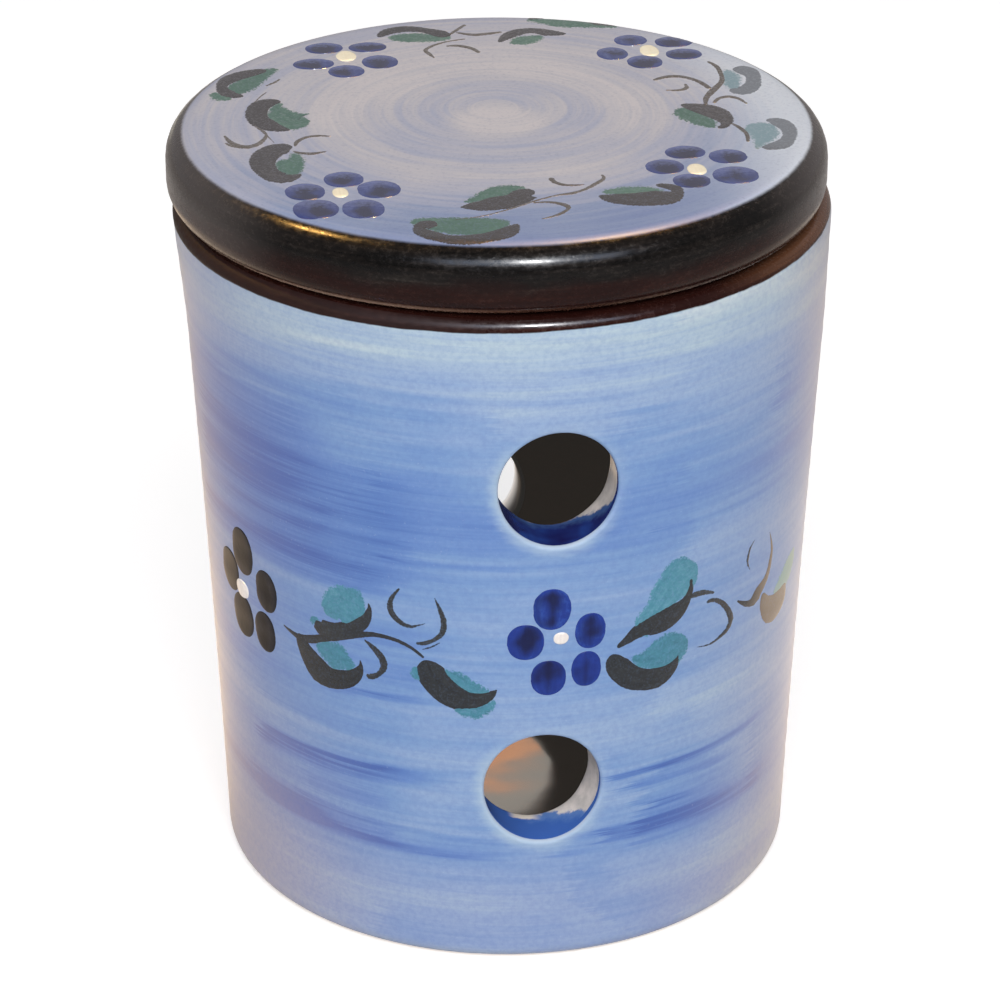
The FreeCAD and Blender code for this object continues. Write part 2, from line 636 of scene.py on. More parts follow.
# The band's lower edge: how much it rises to the right, where paint turns to glaze, and
# where the mesh changes its material a little below
bandEdge = {"slope": 0.012, "from": 137.1, "to": 137.4, "mesh": 137.0}

# In the order of the jar's materials
jarZones = ["outside", "rim", "holes", "foot", "inside", "backHoles", "band"]

# Heights and gaps that part the jar's zones
zoneEdges = {
    "footTop": 0.6,
    "recessTop": 5,
    "recessRadius": 51,
    "wall": (15, 125),         # the heights with holes
    "insideFrom": 13,
    "rimFrom": 139.2,
    "holeGap": 2,
    "backHoleGap": 0.9,
}


def jarZone(spot):
    radius = math.hypot(spot.x, spot.y)
    low, high = zoneEdges["wall"]
    inWall = low < spot.z < high and straightSide(spot.z) - radius > vents["outerRound"] * 0.7
    inRecess = spot.z < zoneEdges["recessTop"] and radius < zoneEdges["recessRadius"]
    if spot.z < zoneEdges["footTop"] or inRecess:
        return "foot"
    if inWall and spot.y > 0 and ventGap(spot) < zoneEdges["backHoleGap"]:
        return "backHoles"
    if spot.z > zoneEdges["insideFrom"] and radius < straightInside(max(spot.z, jar["floorTop"])) + 0.6:
        return "inside"
    if spot.z > zoneEdges["rimFrom"]:
        return "rim"
    if inWall and ventGap(spot) < zoneEdges["holeGap"]:
        return "holes"
    if spot.z - bandEdge["slope"] * spot.x > bandEdge["mesh"]:
        return "band"
    return "outside"


for face in jarPiece.data.polygons:
    face.material_index = jarZones.index(jarZone(face.center / mm))

for vert in jarPiece.data.vertices:
    spot = vert.co / mm
    radius = math.hypot(spot.x, spot.y)
    if radius > jar["thrownFrom"]:
        inside = radius < straightSide(spot.z) - jar["wall"] * 0.6 and spot.z > 10
        change = thrownOffset(spot.x, spot.y, spot.z, inside)
        vert.co.x *= 1 + change / radius
        vert.co.y *= 1 + change / radius
makeActive(jarPiece)
bpy.ops.object.shade_smooth()
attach(jarPiece, "jar")
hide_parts("jar")
print("vents cut:", len(jarPiece.data.polygons), "faces")

lid = {
    "seat": 139.6,
    "thickness": 13.7,
    "radius": 63.6,
    "upperRound": 5.5,
    "lowerRound": 4.4,
    "hollow": 3.0,
    "ringRadius": 51.8,
    "ringWidth": 5.0,
    "ringDepth": 6.0,
    "shift": (-1.7, 0.25),
    "columns": 256,
    "rowStep": 1.5,
}

lidCorners = [
    (0, lid["seat"] + lid["hollow"], 0),
    (lid["ringRadius"] - lid["ringWidth"], lid["seat"] + lid["hollow"], 1.0),
    (lid["ringRadius"] - lid["ringWidth"], lid["seat"] - lid["ringDepth"], 1.5),
    (lid["ringRadius"], lid["seat"] - lid["ringDepth"], 1.5),
    (lid["ringRadius"], lid["seat"], 1.0),
    (lid["radius"], lid["seat"], lid["lowerRound"]),
    (lid["radius"], lid["seat"] + lid["thickness"], lid["upperRound"]),
    (0, lid["seat"] + lid["thickness"], 0),
]

lidPiece = turnOutline("lidBody", lidCorners, lid["columns"], lid["rowStep"])


def lidTop(x, y):
    # The finished top, where paint lies; x and y from the lid's own middle
    radius = math.hypot(x, y)
    top = lid["seat"] + lid["thickness"]
    flat = lid["radius"] - lid["upperRound"]
    if radius > flat:
        past = min(radius - flat, lid["upperRound"])
        top -= lid["upperRound"] - math.sqrt(lid["upperRound"] ** 2 - past ** 2)
    return top


for vert in lidPiece.data.vertices:
    vert.co.x += lid["shift"][0] * mm
    vert.co.y += lid["shift"][1] * mm
for face in lidPiece.data.polygons:
    spot = face.center / mm
    radius = math.hypot(spot.x - lid["shift"][0], spot.y - lid["shift"][1])
    underneath = spot.z < lid["seat"] + lid["hollow"] + 0.1 and radius < lid["radius"] - lid["lowerRound"]
    face.material_index = 1 if underneath else 0
makeActive(lidPiece)
bpy.ops.object.shade_smooth()
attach(lidPiece, "lid")
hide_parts("lid")
print("lid turned:", len(lidPiece.data.polygons), "faces")


# Glazes

darkGlaze, recipe = newGroup("darkGlaze", [
    ("Colour", "NodeSocketColor"),
    ("Roughness", "NodeSocketFloat"),
    ("Height", "NodeSocketFloat"),
])
spot = recipe.place()
x, z = spot.split()[::2]
lines = spot.sized(24, 24, 0.6).grain(1, 3, 0.6)
clouds = spot.sized(14, 14, 4).grain(1, 3, 0.55)
pits = spot.grain(1.6, 2, 0.5)
mottled = spot.sized(1.3, 1.3, 0.8, (2, 5, 1)).grain(1, 3, 0.65)
tone = lines * 0.34 + clouds * 0.33 + mottled * 0.33
brown = tone.ramp([
    (0.38, (30, 14, 12)),
    (0.47, (44, 20, 16)),
    (0.54, (60, 30, 24)),
    (0.63, (88, 50, 38)),
])
blackish = tone.ramp([
    (0.42, (12, 11, 11)),
    (0.52, (22, 19, 18)),
    (0.60, (36, 32, 30)),
    (0.72, (62, 57, 54)),
])
swayed = z + clouds.sway(1.2)
lowBrown = brown.blend(0.8, (27, 11, 9))
rimBrown = brown.blend(0.8, (32, 12, 10))
# a warm orange along the top of the jar's band on the right: painted reflection
paintedRimReflection = x.fade(28, 56) * (z + lines * 2.5).fade(138.6, 140.6)
rimBrown = rimBrown.blend(paintedRimReflection * 0.5, (128, 86, 58))
brown = rimBrown.blend(z > 139.65, lowBrown)
brown = brown.blend(swayed.fade(143.5, 148.0), blackish)
# lighter where the glaze thins at the lid's lower edge; its change of tone from left to right is painted
# reflection
thinGlazeAndSheen = z.fade(139.7, 139.9) * z.fadeOut(140.7, 141.7)
edgeBreakAndSheen = x.fade(-50, 50).ramp([
    (0.0, (176, 148, 130)),
    (0.3, (118, 88, 74)),
    (0.45, (76, 51, 41)),
    (0.6, (82, 58, 48)),
    (0.8, (120, 100, 88)),
    (1.0, (146, 138, 134)),
])
brown = brown.blend(thinGlazeAndSheen * 0.75, edgeBreakAndSheen)
# lighter grey towards the lid's left and right ends: painted sheen
paintedSideSheen = (x.fade(40, 62, 0.0, 0.42) + x.fade(-62, -46, 0.3, 0.0)) * z.fade(140.5, 142.5)
brown = brown.blend(paintedSideSheen, (112, 104, 102))
gloss = mottled.fade(0.35, 0.65, 0.17, 0.29) + pits.fade(0.6, 0.75, 0.0, 0.1)
height = lines * 0.014 + pits.fade(0.62, 0.75) * -0.006
recipe.node("NodeGroupOutput", {0: brown, 1: gloss, 2: height})

# Load is how thickly the blue lies: heights and loads of the brush's level turns
turns = [
    (0, 0.32), (8, 0.38), (14, 0.34), (18, 0.41), (22, 0.53), (25, 0.63), (28, 0.56), (32, 0.49),
    (37, 0.46), (41, 0.51), (45, 0.49), (50, 0.45), (57, 0.5), (63, 0.57), (70, 0.58), (76, 0.56),
    (80, 0.54), (84, 0.56), (89, 0.63), (94, 0.72), (98, 0.76), (103, 0.69), (109, 0.59), (115, 0.51),
    (120, 0.46), (126, 0.31), (131, 0.25), (136, 0.2), (140, 0.16),
]

# Single brush streaks: heading and height at both ends, half width, load
streaks = [
    (-64, 38.6, -19, 40.6, 3, 0.34), (-60, 40.8, -24, 41.6, 0.9, 0.14), (-67, 26.8, -6, 25, 4.2, 0.22),
    (-52, 29.6, -5, 27.2, 1, 0.14), (-50, 25.4, -10, 23.6, 1.3, 0.12), (-43, 56.9, -20, 57.8, 1.4, 0.2),
    (-62, 47.8, -35, 47.7, 1.2, 0.14), (-68, 34.6, -30, 34, 0.8, 0.1), (-56, 44.4, -26, 44, 0.8, 0.1),
    (-84, 121, -14, 116, 16, 0.13), (-84, 82, -26, 82.6, 5.5, 0.26), (-84, 54, -24, 53.5, 8, 0.15),
    (-80, 97, -22, 96, 13, 0.18), (-70, 115.4, -42, 117.9, 0.7, -0.12),
    (-64, 129.4, -24, 132.5, 0.9, -0.06), (-30, 88.2, 0, 87.6, 0.9, 0.1),
    (-10, 118.6, 16, 117.4, 4.5, -0.15), (-26, 90, 4, 89, 4, -0.1), (12, 39.9, 52, 40.8, 1.3, 0.34),
    (10.5, 42.3, 48, 41.8, 0.9, 0.1), (21, 39, 37, 38.6, 1.4, 0.2), (11.5, 36.4, 20, 36.6, 0.9, 0.24),
    (15, 37, 44, 36.4, 1.6, 0.26), (20, 31.5, 34, 31, 1.2, 0.24), (18, 31, 46, 31, 8, 0.18),
    (-88, 111, -40, 111, 11, 0.18), (-88, 86, -40, 87, 7, 0.12), (-84, 35, -26, 36, 14, 0.13),
    (26, 88, 60, 87, 12, -0.1), (48, 113, 80, 113, 13, 0.12), (12, 19.4, 46, 19, 3.5, -0.12),
    (-34, 6, 6, 6, 7, 0.13), (30, 50, 62, 49, 5, -0.1), (-88, 26, -44, 26, 4, 0.24),
    (48, 33, 84, 32, 15, 0.17), (-88, 96, -48, 96, 6, 0.1), (-50, 34, -24, 34, 5, 0.09),
    (-80, 19, -34, 19, 6, 0.1), (30, 2.5, 84, 2.5, 3, -0.2), (-30, 27, 0, 27, 4, -0.12),
    (-34, 122.5, -14, 122.5, 5, -0.08), (-40, 94, -24, 94, 5, -0.08), (-62, 66, -18, 66, 11, 0.1),
    (-32, 105, -12, 105, 5, 0.07), (22, 136.5, 66, 135.5, 3, -0.14), (11, 27.4, 58, 26, 2.9, 0.27),
    (17, 23.9, 48, 23.7, 1.3, 0.1), (3, 27.5, 16, 28.1, 1, 0.14), (0.5, 24, 11, 25, 1.1, 0.14),
    (9.5, 44.2, 22, 45.4, 0.8, 0.1), (18, 93, 50, 92, 0.9, 0.12), (16, 112.6, 44, 111.4, 0.9, -0.08),
    (24, 103.4, 62, 104.4, 5, -0.12), (26, 66, 62, 64, 8, -0.1), (20, 54, 62, 52, 6, -0.1),
    (14, 16, 62, 15, 5, -0.08), (44, 3, 70, 4, 4.5, -0.3), (70, 31, 122, 29.5, 1.6, 0.3),
    (84, 46, 130, 47.2, 1.1, 0.24), (136, 26, 172, 27.4, 1.8, 0.3), (-150, 34, -96, 36, 1.4, 0.3),
    (-128, 22, -86, 23.4, 1.6, 0.26), (-170, 62, -120, 60.8, 1, 0.2),
]

blueWash, recipe = newGroup("blueWash", [("Colour", "NodeSocketColor"), ("Height", "NodeSocketFloat")])
spot = recipe.place()
x, y, z = spot.split()
heading = recipe.heading(x, y)
sway = spot.sized(60, 60, 45).grain(1, 1, 0.5)
level = z + sway.sway(1.6)
load = (level / 140).ramp([(at / 140, value) for at, value in turns], "EASE").split()[0]
broad = spot.sized(42, 42, 9).grain(1, 2, 0.5)
streak = spot.sized(60, 60, 2.0, (3, 7, 5)).grain(1, 3, 0.6)
hair = spot.sized(34, 34, 0.55, (9, 2, 4)).grain(1, 2, 0.6)
load += broad.fade(0.25, 0.75, -0.08, 0.08)
load += streak.fade(0.28, 0.72, -0.075, 0.075)
load += hair.fade(0.25, 0.75, -0.03, 0.03)
waver = z + spot.sized(18, 18, 8).grain(1, 1, 0.5).sway(0.3)
frayed = heading + hair.sway(2.5)
extra = 0.0
for startTurn, startHeight, endTurn, endHeight, halfWidth, amount in streaks:
    course = {0: heading, 1: startTurn, 2: endTurn, 3: startHeight, 4: endHeight}
    middle = recipe.out("ShaderNodeMapRange", course)
    away = abs(waver - middle)
    band = away.fade(halfWidth * 0.25, halfWidth, amount, 0.0)
    begun = frayed.fade(startTurn - 1.5, startTurn + 1.5)
    ended = frayed.fadeOut(endTurn - 9, endTurn + 3)
    extra += band * (begun * ended)
extra *= hair.fade(0.25, 0.6, 0.78, 1.08)
# one brush load laps over the next in a ragged upright edge near the foot
past = (16.0 - z).atLeast(0.0)
lapEdge = past * past * 0.085 + 5.3
overLap = (frayed - lapEdge).fade(-0.8, 0.8)
overLap *= heading.fadeOut(18, 45) * z.fadeOut(19, 24)
load = load + extra + overLap * 0.09
blueTones = load.ramp([
    (0.00, (187, 201, 207)),
    (0.15, (168, 189, 202)),
    (0.35, (143, 167, 199)),
    (0.50, (126, 155, 196)),
    (0.62, (111, 146, 193)),
    (0.75, (96, 132, 189)),
    (0.88, (80, 118, 181)),
    (1.00, (56, 92, 164)),
])
# violet low down, and a darker violet on the left side that is painted shade
leftShade = heading.fade(-70, -30, 0.25, 0.0) * heading.fade(-160, -100)
violetAndLeftShade = z.fade(12, 34, 0.22, 0.05) + leftShade
blueTones = blueTones.blend(violetAndLeftShade, (128, 128, 168))
# low down the wash turns to a greyish pink of its own; towards both sides and high on the right the pink is
# painted warm reflection
rightPinkAndSheen = heading.fade(4, 58) * z.fade(6, 26, 0.55, 0.0)
rightPinkAndSheen = rightPinkAndSheen.atLeast(heading.fade(22, 62) * z.fade(6, 70, 0.55, 0.14))
rightPinkAndSheen += heading.fade(42, 68) * z.fade(70, 125, 0.0, 0.34)
rightPinkAndSheen *= heading.fadeOut(120, 165)
leftPinkAndSheen = heading.fadeOut(-72, -18) * z.fade(6, 58, 0.52, 0.0)
leftPinkAndSheen *= heading.fade(-160, -110)
pinkAndSheen = (rightPinkAndSheen + leftPinkAndSheen).atLeast(z.fade(8, 26, 0.05, 0.0))
blueTones = blueTones.blend(pinkAndSheen, (180, 164, 164))
mottle = spot.grain(0.9, 3, 0.7)
blueTones = blueTones.blend(mottle.fade(0.35, 0.7, 0.0, 0.2), (72, 100, 170))
flecks = spot.grain(1.7, 3, 0.7)
blueTones = blueTones.blend(flecks.fade(0.6, 0.8, 0.0, 0.2), (200, 210, 220))
height = hair * 0.012 + mottle * 0.010
height += streak * 0.02
recipe.node("NodeGroupOutput", {0: blueTones, 1: height})


def washFinish(name, specular):
    material, recipe = newMaterial(name)
    wash = recipe.named("ShaderNodeGroup", node_tree=blueWash)
    glaze = recipe.named("ShaderNodeGroup", node_tree=darkGlaze)
    spot = recipe.place()
    x, y, z = spot.split()
    ragged = spot.sized(5, 5, 1.2).grain(1, 3, 0.6)
    edgeLevel = z + x * -bandEdge["slope"]
    edgeLevel += ragged.sway(0.07)
    onBand = edgeLevel.fade(bandEdge["from"], bandEdge["to"])
    gap = recipe.measure("ventGap")
    isLower = z < vents["split"]
    atBack = y > 0.0
    middle = atBack.between(ventHeights["frontLower"], ventHeights["backLower"])
    middle = isLower.between(ventHeights["upper"], middle)
    below = (middle - z) * 0.07
    leftOf = x * y.sign() * 0.055
    lowLeft = (below + leftOf).fade(-0.7, 0.7, 0.2, 1.0)
    softGap = gap + ragged.sway(0.4)
    halo = softGap.fade(0.0, 3.2, 0.55, 0.0) * lowLeft
    lip = gap.fade(0.1, 0.6, 0.7, 0.0) * lowLeft.fade(0.35, 0.95, 0.0, 1.0)
    blueLip = gap.fade(-0.4, 0.3, 0.8, 0.0) * lowLeft.fadeOut(0.3, 0.6)
    colour = wash["Colour"].blend(halo, (176, 196, 206))
    colour = colour.blend(lip, (158, 174, 196))
    colour = colour.blend(blueLip, (66, 84, 146))
    colour = colour.blend(onBand, glaze["Colour"])
    bandGloss = glaze["Roughness"] + x.fade(-38, -4, 0.36, 0.0)
    recipe.surface(
        Base_Color=colour,
        Roughness=onBand.between(gap.fade(0.3, 1.4, 0.7, 0.3), bandGloss),
        Specular_IOR_Level=specular,
        Normal=recipe.relief(onBand.between(wash["Height"], glaze["Height"])),
    )
    return material


washMaterial = washFinish("paintedWash", 0.5)
bandMaterial = washFinish("paintedBand", 0.18)

glazeMaterial, recipe = newMaterial("darkBrownGlaze")
glaze = recipe.named("ShaderNodeGroup", node_tree=darkGlaze)
recipe.surface(
    Base_Color=glaze["Colour"],
    Roughness=glaze["Roughness"],
    Specular_IOR_Level=0.15,
    Normal=recipe.relief(glaze["Height"]),
)


def holeFinish(name, atBack):
    material, recipe = newMaterial(name)
    spot = recipe.place()
    x, y, z = spot.split()
    depth = recipe.measure("wallDepth")
    ragged = spot.grain(0.45, 3, 0.6)
    isLower = z < vents["split"]
    level = z + depth * isLower.between(0.86, 0.577)
    level += ragged.sway(0.5)
    poolTop = isLower.between(101.0, 45.1 if atBack else 33.4)
    rightward = x * (y * -1.0).sign()
    poolTop += rightward.fade(-11, -2, 6.5, 0.2)
    edgeRise = depth.fade(0.9, 1.9, 16.0, 0.0) * rightward.fade(2, 8)
    poolTop += edgeRise
    under = poolTop - level
    pool = under.fade(-0.4, 0.5)
    cobalt = spot.stretch(0.16, 0.16, 0.3).grain(1, 2, 0.5).ramp([
        (0.35, (26, 28, 84)),
        (0.5, (30, 42, 104)),
        (0.7, (38, 66, 140)),
    ])
    cobalt = cobalt.blend(under.fade(0.3, 3.0, 0.75, 0.0), (70, 104, 160))
    cobalt = cobalt.blend(isLower * 0.85, (66, 108, 190))
    cobalt = cobalt.blend(isLower * under.fade(0.2, 2.6, 0.7, 0.0), (104, 140, 196))
    bare = spot.grain(0.3, 3, 0.6).ramp([
        (0.35, (196, 192, 190)),
        (0.65, (226, 219, 216)),
    ])
    walls = bare.blend(pool, cobalt)
    walls = walls.blend(depth.fade(8.5, 9.0, 0.0, 0.8), (104, 66, 48))
    cream = rightward.fade(-7.0, -5.0) * rightward.fadeOut(-2.5, 0.0)
    cream *= (depth + ragged * 1.6).fade(7.6, 8.2)
    walls = walls.blend(cream * isLower, (222, 214, 206))
    if atBack:
        # inside the back holes the walls are pale near the outside and dark deeper in: painted light and
        # painted shade
        paintedDepthShade = (depth * 0.1).ramp([
            (0.04, (240, 236, 230)),
            (0.30, (150, 138, 130)),
            (0.60, (70, 62, 58)),
            (0.88, (36, 32, 30)),
        ])
        walls = walls.blend(0.95, paintedDepthShade)
    recipe.surface(
        Base_Color=walls,
        Roughness=0.6 if atBack else 0.25,
        Specular_IOR_Level=0.04 if atBack else 0.5,
        Normal=recipe.relief(ragged * 0.05),
        # the back holes' walls glow a little, most near the outside: painted light
        Emission_Color=(255, 250, 244),
        Emission_Strength=depth.fade(0.2, 7.5, 0.5, 0.021) if atBack else 0.0,
    )
    return material


holeMaterial = holeFinish("holeWalls", False)
backHoleMaterial = holeFinish("backHoleWalls", True)

insideMaterial, recipe = newMaterial("insideGlaze")
spot = recipe.place()
clouds = spot.sized(30, 30, 12).grain(1, 2, 0.5)
smooth = spot.sized(12, 12, 7).grain(1, 1, 0.4)
brown = clouds.ramp([
    (0.35, (40, 36, 34)),
    (0.65, (56, 45, 38)),
])
x, y, z = spot.split()
aside = x * 0.99 + y * -0.14
onward = x * 0.14 + y * 0.99
offAxis = aside + 10.0
dish = (offAxis * offAxis + 25.0).root()
dish *= onward * 0.00066 + 0.118
past = (onward + 20.0).atLeast(0.0)
dish += past * past / 1600
dish *= z.fadeOut(15, 18)
recipe.surface(
    Base_Color=brown,
    Roughness=0.07,
    Normal=recipe.relief(smooth * 0.06 + dish),
    IOR=2.1,
    # a faint glow in the inside glaze stands in for the light that reaches inside: painted light
    Emission_Color=(255, 240, 225),
    Emission_Strength=0.017,
)

footMaterial, recipe = newMaterial("bareFoot")
spot = recipe.place()
clay = spot.grain(0.7, 4, 0.65).ramp([
    (0.3, (176, 150, 126)),
    (0.7, (214, 192, 168)),
])
grit = spot.grain(2, 3, 0.6) * 0.08
recipe.surface(Base_Color=clay, Roughness=0.85, Normal=recipe.relief(grit))

for material in (
    washMaterial, glazeMaterial, holeMaterial, footMaterial, insideMaterial, backHoleMaterial, bandMaterial,
):
    jarPiece.data.materials.append(material)

lidWash, recipe = newGroup("lidWash", [("Colour", "NodeSocketColor"), ("Height", "NodeSocketFloat")])
centred = recipe.place().stretch(1, 1, 1, (-lid["shift"][0], -lid["shift"][1], 0))
x, y = centred.split()[:2]
radius = recipe.hypot(x, y)
# the brushed rings wind about a point behind the middle
ringX = x + radius.fade(10, 60, -0.7, 0.0)
ringY = y + radius.fade(10, 60, -7.4, 0.0)
ringRadius = recipe.hypot(ringX, ringY)
ringSpot = recipe.out("ShaderNodeCombineXYZ", {0: x / 45, 1: y / 45, 2: ringRadius / 1.7})
rings = ringSpot.grain(1, 3, 0.65)
cloud = centred.grain(0.04, 2, 0.5)
frontness = (y * -0.8 + x * 0.25) / 60
frontness = frontness.fade(-0.5, 0.9, 0.0, 0.5)
load = radius.fade(18, 56, 0.1, 1.0) * (frontness + 0.22)
load += rings.fade(0.3, 0.7, -0.10, 0.11)
load += radius.fade(5, 12) * radius.fade(18, 31, 0.22, 0.0)
load += cloud.sway(0.06)
lidTones = load.ramp([
    (0.00, (198, 192, 195)),
    (0.15, (186, 183, 190)),
    (0.35, (166, 169, 188)),
    (0.60, (137, 150, 181)),
    (1.00, (108, 125, 170)),
])
# whiter towards the lid's right edge: painted sheen
paintedRightSheen = x.fade(28, 58) * radius.fade(36, 56, 0.2, 0.85)
lidTones = lidTones.blend(paintedRightSheen, (214, 219, 227))
speckle = centred.grain(1.3, 3, 0.7)
lidTones = lidTones.blend(speckle.fade(0.48, 0.72, 0.0, 0.2), (84, 96, 140))
height = rings * 0.035 + speckle * 0.012
recipe.node("NodeGroupOutput", {0: lidTones, 1: height})

lidMaterial, recipe = newMaterial("lidWashAndRim")
wash = recipe.named("ShaderNodeGroup", node_tree=lidWash)
glaze = recipe.named("ShaderNodeGroup", node_tree=darkGlaze)
centred = recipe.place().stretch(1, 1, 1, (-lid["shift"][0], -lid["shift"][1], 0))
x, y, z = centred.split()
radius = recipe.hypot(x, y)
wobble = centred.grain(0.08, 2, 0.5)
ragged = centred.sized(2.5, 2.5, 1.0).grain(1, 3, 0.6)
edge = radius + wobble.sway(0.05)
edge += ragged.sway(0.03)
isHigh = z > 146.0
onTop = edge.fadeOut(59.9, 60.8) * isHigh
recipe.surface(
    Base_Color=glaze["Colour"].blend(onTop, wash["Colour"]),
    Roughness=onTop.between(glaze["Roughness"], 0.36),
    Specular_IOR_Level=0.15,
    Normal=recipe.relief(onTop.between(glaze["Height"], wash["Height"])),
)
lidPiece.data.materials.append(lidMaterial)
lidPiece.data.materials.append(glazeMaterial)
print("glazes are on")

# Ornament: brushed dabs of colour and drops of slip, each a thin cake that lies on the glaze
dab = {
    "stations": 26,
    "rows": 8,
    "sunk": 0.12,
    "greenHeight": 0.03,
    "leafHeight": 0.05,
    "petalHeight": 0.08,
    "lineHeight": 0.09,
    "dropHeight": 0.30,
}

# On the jar a point is (heading, height, half width), and on the lid (x, y, half width)
jarLeaves = [
    [(-53.8, 66.3, 0.16), (-51.7, 65.6, 0.42), (-49.2, 65.2, 0.7), (-45.3, 66.3, 0.88), (-40, 68.6, 0.8),
     (-34.8, 70.5, 0.6), (-31.9, 71, 0.45), (-28.4, 70.7, 0.4), (-25.4, 69.5, 0.35), (-23.1, 67.7, 0.3)],
    [(-49.8, 66, 0.8), (-48.9, 64, 1.5), (-47.5, 61.9, 2.1), (-45.2, 59.5, 2.7), (-42.4, 58.7, 2.2),
     (-38.7, 59.7, 1.8), (-36.5, 61.5, 1.2), (-35.7, 63.2, 0.5), (-35.8, 64.6, 0.1)],
    [(-45.2, 70.6, 0.4), (-44.2, 69.3, 1.7), (-41, 69.6, 1.6), (-37.8, 70.9, 1.5), (-34.9, 73.2, 1.3),
     (-33.5, 75.9, 0.6), (-33.6, 77.6, 0.1)],
    [(-23.1, 67.2, 1.4), (-22.1, 64.8, 2.6), (-20.3, 62.1, 2.8), (-17.7, 60, 2.6), (-14.9, 59.2, 2),
     (-12.6, 59.6, 1.5), (-10.7, 60.8, 0.8), (-9.8, 61.8, 0.1)],
    [(12.4, 69, 0.4), (14.6, 70.4, 0.95), (16.7, 71.8, 1.6), (19.3, 72.3, 2.1), (22.1, 72.9, 2.4),
     (24.6, 74, 2), (26.4, 75.5, 1.1), (27.3, 77.8, 0.7), (27.3, 80.1, 0.4)],
    [(11.3, 67.6, 1), (12.5, 64.9, 2.1), (14.9, 62.3, 2.4), (17.9, 60.7, 2.2), (21, 60.4, 2.2),
     (23.5, 61.4, 1.6), (24.9, 62.9, 0.75), (25.4, 64.3, 0.15)],
    [(49.1, 81.7, 0.1), (49.9, 79.2, 0.3), (50.5, 76.9, 0.45), (50.2, 75.1, 0.6), (49.7, 73.1, 0.7),
     (48.5, 71.1, 1), (46.5, 69.8, 1.3), (45.5, 68.8, 1.4), (43.9, 68.4, 0.8), (41.8, 69.2, 0.5),
     (39.8, 70.6, 0.2)],
    [(48, 68.6, 0.6), (49.2, 66, 1.7), (51.4, 63.8, 2.7), (54, 63.2, 3), (56.6, 64, 2.6), (58.6, 66, 1.4)],
]

jarGreens = [
    [(-45.7, 64.9, 0.5), (-43.7, 64.6, 1.8), (-40.9, 63.9, 2.6), (-38.6, 63.2, 1.7), (-36.8, 63.1, 0.5)],
    [(-42.9, 72.6, 1.4), (-41, 74.7, 2.7), (-38.7, 75.5, 3.9), (-36.4, 75, 3.8), (-34.5, 74.2, 1.5)],
    [(-46, 71.3, 0.5), (-45.6, 70.4, 1.1), (-45, 69.4, 1)],
    [(-25, 65.5, 0.7), (-24.5, 64, 1.2), (-23.9, 62.6, 0.8)],
    [(-19.9, 65.5, 0.6), (-18.2, 63.7, 1.8), (-15.9, 62.3, 1.9), (-13.3, 61.5, 1.4), (-11, 61.2, 0.5)],
    [(-17.6, 57, 0.4), (-15.6, 56.8, 1.2), (-13.6, 56.7, 1.25), (-11.6, 57.8, 1.1), (-10.2, 59.4, 0.4)],
    [(16.1, 72.4, 0.7), (17.2, 73.8, 1.4), (19.9, 75.5, 2.2), (21.8, 78.1, 2.9), (24.6, 80.9, 3.7),
     (27.1, 82, 2.9), (28.6, 82.8, 1.3)],
    [(16.3, 71.9, 0.4), (17.5, 70.6, 0.5), (18.9, 70.2, 0.4)],
    [(15.3, 66.2, 0.6), (17.5, 65.2, 1.7), (20.4, 65.3, 2.8), (23.3, 65.6, 3.3), (25.9, 66.3, 2.5),
     (27.4, 66.9, 1.1)],
    [(52.6, 66.8, 0.6), (55.2, 67, 1.7), (58.2, 68, 2.3), (60.6, 69.8, 2.1), (62.4, 72, 0.9)],
]

jarTendrils = [
    [(-27.4, 82.1, 0.2), (-29, 79.6, 0.45), (-29.3, 77.2, 0.6), (-28, 75.2, 0.55), (-25.9, 74.2, 0.4),
     (-24.2, 74.6, 0.2), (-22.7, 75.3, 0.1)],
    [(-20.9, 81.1, 0.1), (-20, 78.7, 0.4), (-19.3, 76.1, 0.55), (-19.6, 73.7, 0.55), (-21, 72, 0.4),
     (-23, 70.9, 0.4), (-24.6, 70.7, 0.25)],
    [(-23.4, 69.5, 0.1), (-21.7, 70.3, 0.2), (-20.1, 71.4, 0.1)],
    [(-34.7, 69.4, 0.2), (-32.8, 67.9, 0.6), (-31.2, 65.9, 0.75), (-31, 64, 0.65), (-32.2, 62.3, 0.5),
     (-33.9, 61.4, 0.6), (-34.5, 61.9, 0.2)],
    [(27.3, 76.1, 0.45), (28.8, 76.2, 0.6), (30.9, 75.9, 0.5), (33.2, 75, 0.25)],
    [(31.3, 73.6, 0.35), (33.3, 73.4, 0.45), (36, 71.3, 0.55), (38.1, 67.8, 0.7), (37.5, 65.5, 0.6),
     (35, 64.3, 0.35), (32.5, 63.8, 0.2), (29.6, 64.3, 0.1)],
    [(43.9, 82.3, 0.1), (42.5, 80.8, 0.3), (42, 79, 0.35), (42.1, 77.8, 0.25), (43, 76.1, 0.1)],
]

# A petal or a drop is (heading or x, height or y, half width, half height)
jarBrownPetals = [
    (-65.8, 77.3, 3.9, 5), (-58.4, 71.7, 3.3, 4.5), (-59.6, 62.3, 3.3, 4.3), (-67.2, 62.7, 4, 4.6),
    (-71.5, 70.9, 3.8, 4.5),
]
jarCobaltPetals = [
    (0.1, 79, 3.6, 4.4), (-4.6, 72.1, 3.5, 3.8), (-0.4, 64.1, 3.35, 3.8), (7.2, 73.6, 3, 3.8),
    (6.6, 65.4, 2.9, 3.8),
]
jarDrops = [
    (-66.7, 68.7, 2.4, 1.9), (1.8, 72.6, 1.45, 1.3),
]

